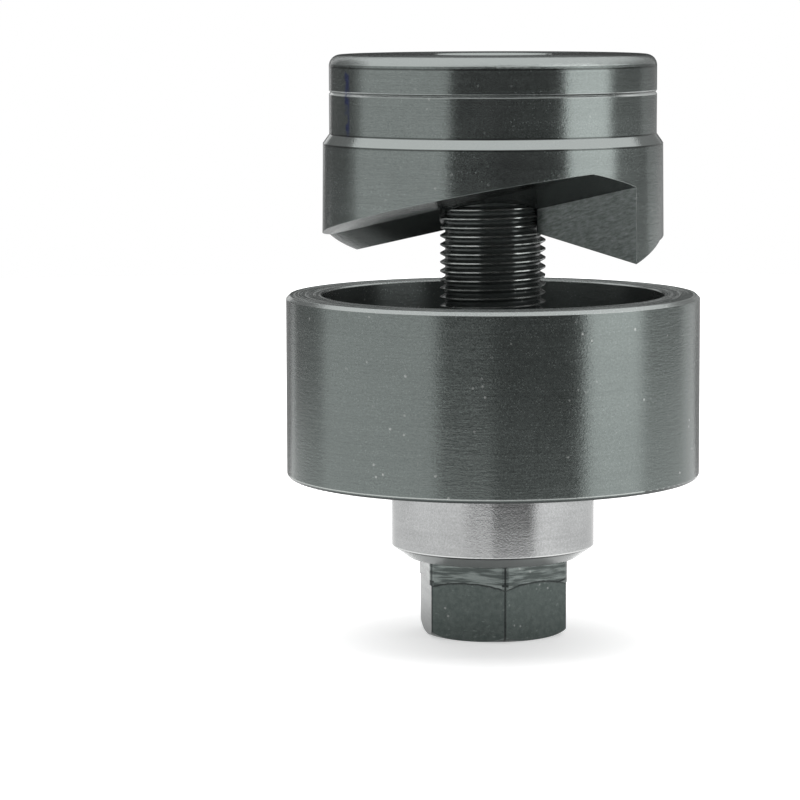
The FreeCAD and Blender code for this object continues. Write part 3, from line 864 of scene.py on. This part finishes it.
def make_punch_thread(material):
    """The thread cut in the punch's bore: one ridge that winds up between the stud's turns."""
    first, last = BORE_TURNS
    steps = (last - first) * THREAD_SIDES
    quarter = THREAD_SIDES // 4
    mesh = bmesh.new()
    sections = []
    for step in range(steps + 1):
        angle = 2.0 * math.pi * step / THREAD_SIDES
        middle = THREAD_START + THREAD_PITCH * (first + step / THREAD_SIDES)
        fade = min(step, steps - step, quarter) / quarter
        crest = BORE_RADIUS - (BORE_RADIUS - BORE_CREST) * fade
        outline = [(-RIDGE_FOOT, BORE_RADIUS), (-RIDGE_CREST, crest), (RIDGE_CREST, crest),
                   (RIDGE_FOOT, BORE_RADIUS)]
        section = []
        for share, radius in outline:
            section.append(mesh.verts.new(turned_point(radius, angle, middle + share * THREAD_PITCH)))
        sections.append(section)
    for lower, upper in zip(sections, sections[1:]):
        for corner in range(4):
            after = (corner + 1) % 4
            mesh.faces.new((lower[corner], lower[after], upper[after], upper[corner]))
    mesh.faces.new(sections[0])
    mesh.faces.new(sections[-1])
    bmesh.ops.remove_doubles(mesh, verts=mesh.verts, dist=SAME_POINT)
    bmesh.ops.recalc_face_normals(mesh, faces=mesh.faces)
    ridge = new_piece("punch_thread", mesh, material)
    smooth_by_angle(ridge, CREASE_DEGREES)
    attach(ridge, "punch")


def paint_node(node, material):
    """Give a solid of the frame its finish."""
    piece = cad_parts[node]
    for slot in piece.material_slots:
        slot.material = material


def make_camera():
    """The photograph's camera."""
    ahead = Vector((-math.sin(CAMERA_YAW), math.cos(CAMERA_YAW), 0.0))
    right = Vector((math.cos(CAMERA_YAW), math.sin(CAMERA_YAW), 0.0))
    look = ahead * math.cos(CAMERA_TILT) - Vector((0, 0, math.sin(CAMERA_TILT)))
    upward = ahead * math.sin(CAMERA_TILT) + Vector((0, 0, math.cos(CAMERA_TILT)))
    side = right * math.cos(CAMERA_ROLL) - upward * math.sin(CAMERA_ROLL)
    top = right * math.sin(CAMERA_ROLL) + upward * math.cos(CAMERA_ROLL)
    lens = bpy.data.cameras.new("camera")
    lens.sensor_width = SENSOR_MM
    lens.lens = LENS_MM
    lens.clip_start = CAMERA_NEAREST
    camera = bpy.data.objects.new("camera", lens)
    turn = Matrix((side, top, -look)).transposed().to_4x4()
    camera.matrix_world = Matrix.Translation((0.0, -CAMERA_DISTANCE, CAMERA_HEIGHT)) @ turn
    bpy.context.collection.objects.link(camera)
    bpy.context.scene.camera = camera


def make_lamp(name, mirrored, azimuth, elevation, distance, width, height, radiance):
    """A softbox aimed at the tool, unseen by the camera, and seen in reflections if mirrored."""
    lamp = bpy.data.lights.new(name, "AREA")
    lamp.shape = "RECTANGLE"
    lamp.size = width
    lamp.size_y = height
    lamp.energy = radiance * math.pi * width * height
    piece = bpy.data.objects.new(name, lamp)
    side, lift = math.radians(azimuth), math.radians(elevation)
    away = Vector((math.sin(side) * math.cos(lift), -math.cos(side) * math.cos(lift), math.sin(lift)))
    piece.location = Vector(LAMP_TARGET) + away * distance
    piece.rotation_euler = away.to_track_quat("Z", "Y").to_euler()
    piece.visible_camera = False
    piece.visible_glossy = mirrored
    bpy.context.collection.objects.link(piece)


def make_stage():
    """White floor, and surroundings that are white where they are seen and dim for everything else."""
    bpy.ops.mesh.primitive_circle_add(vertices=FLOOR_SIDES, radius=FLOOR_RADIUS, fill_type="NGON")
    floor = bpy.context.object
    floor.name = "floor"
    floor.data.materials.append(white_floor())
    world = bpy.data.worlds.new("studio")
    bpy.context.scene.world = world
    world.use_nodes = True
    graph = Graph(world.node_tree)
    dim = graph.add("ShaderNodeBackground", None, Color=WHITE, Strength=SURROUND)
    white = graph.add("ShaderNodeBackground", None, Color=WHITE, Strength=1.0)
    mix = graph.add("ShaderNodeMixShader", None, _0=background_ray(graph), _1=dim.outputs[0],
                    _2=white.outputs[0])
    graph.add("ShaderNodeOutputWorld", None, Surface=mix.outputs[0])


def main():
    """Camera, stage, lamps, cards, finishes and the threads."""
    bpy.context.scene.view_settings.view_transform = "Standard"
    make_camera()
    make_stage()
    make_lamp("side_softbox", True, *SIDE_SOFTBOX)
    make_lamp("top_softbox", False, *TOP_SOFTBOX)
    for name, (tone, corners) in CARDS.items():
        make_card(name, tone, corners)

    race = bearing_steel("race_steel", *RACE_STEEL)
    ball = bearing_steel("ball_steel", *BALL_STEEL)
    stud = stud_steel()
    punch = punch_steel()
    paint_node("punch", punch)
    paint_node("die", die_steel())
    paint_node("draw_stud", stud)
    paint_node("bearing_cover", band_steel())
    paint_node("upper_race", race)
    paint_node("lower_race", race)
    paint_node("ball_cage", bearing_steel("cage_steel", *CAGE_STEEL))
    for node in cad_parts:
        if node.startswith("ball_") and node != "ball_cage":
            paint_node(node, ball)
    make_threaded_stud(stud)
    make_punch_thread(punch)


main()
